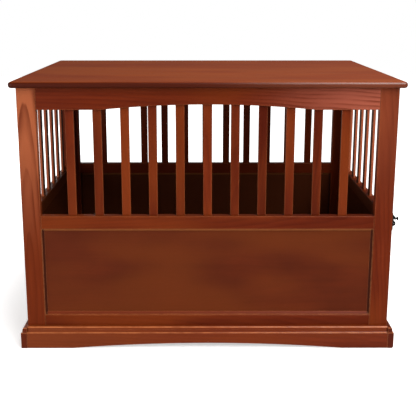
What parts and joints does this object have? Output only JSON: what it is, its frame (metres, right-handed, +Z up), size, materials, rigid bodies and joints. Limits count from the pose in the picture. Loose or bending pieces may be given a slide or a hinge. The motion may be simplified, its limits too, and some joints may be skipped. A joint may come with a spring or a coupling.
{
  "type": "dog crate end table",
  "caption": "Wooden crate for a dog that doubles as an end table, with slatted upper walls, panelled lower walls, a hinged end door with a slide bolt and a moulded plinth.",
  "frame": {"origin": "on the floor, under the middle of the tabletop", "axes": "+X along the long side towards the door, +Y from the front frame to the back frame, +Z up"},
  "size_m": [0.9344, 0.605, 0.665],
  "materials": {
    "top_wood": "satin cherry stain with faint long grain",
    "frame_wood": "satin cherry stain, lighter at worn edges",
    "panel_wood": "satin cherry stain on flat panels",
    "plinth_wood": "satin cherry stain on moulded boards",
    "inner_wood": "thin stain on inner boards",
    "black_steel": "black powder coat"
  },
  "bodies": {
    "crate": {"table_top": "top_wood", "plinth_front": "plinth_wood", "plinth_back": "plinth_wood", "plinth_left": "plinth_wood", "plinth_right": "plinth_wood", "floor_panel": "inner_wood", "floor_cleat_front": "inner_wood", "floor_cleat_back": "inner_wood", "sill_rail": "inner_wood", "door_stop": "inner_wood", "front_stile_left": "frame_wood", "front_stile_right": "frame_wood", "front_top_rail": "frame_wood", "front_mid_rail": "frame_wood", "front_bottom_rail": "frame_wood", "front_panel": "panel_wood", "back_stile_right": "frame_wood", "back_stile_left": "frame_wood", "back_top_rail": "frame_wood", "back_mid_rail": "frame_wood", "back_bottom_rail": "frame_wood", "back_panel": "panel_wood", "left_stile_back": "frame_wood", "left_stile_front": "frame_wood", "left_top_rail": "frame_wood", "left_mid_rail": "frame_wood", "left_bottom_rail": "frame_wood", "left_panel": "panel_wood", "front_slat_1": "frame_wood", "front_slat_2": "frame_wood", "front_slat_3": "frame_wood", "front_slat_4": "frame_wood", "front_slat_5": "frame_wood", "front_slat_6": "frame_wood", "front_slat_7": "frame_wood", "front_slat_8": "frame_wood", "front_slat_9": "frame_wood", "front_slat_10": "frame_wood", "front_slat_11": "frame_wood", "hinge_frame_leaf_lower": "black_steel", "hinge_pin_lower": "black_steel", "hinge_frame_leaf_upper": "black_steel", "hinge_pin_upper": "black_steel", "latch_keeper": "black_steel"},
    "door": {"door_stile_latch": "frame_wood", "door_stile_hinge": "frame_wood", "door_top_rail": "frame_wood", "door_mid_rail": "frame_wood", "door_bottom_rail": "frame_wood", "door_panel": "panel_wood", "door_slat_1": "frame_wood", "door_slat_2": "frame_wood", "door_slat_3": "frame_wood", "door_slat_4": "frame_wood", "door_slat_5": "frame_wood", "door_slat_6": "frame_wood", "hinge_door_leaf_lower": "black_steel", "hinge_door_leaf_upper": "black_steel", "latch_housing": "black_steel"},
    "bolt": {"latch_bolt": "black_steel"}
  },
  "joints": [
    {"name": "door_hinge", "type": "hinge", "parent": "crate", "child": "door", "pos_m": [0.4519, 0.266, 0], "axis": [0, 0, 1], "range_deg": [0, 170]},
    {"name": "bolt_slide", "type": "slide", "parent": "door", "child": "bolt", "axis": [0, -1, 0], "range_m": [0, 0.013]}
  ]
}
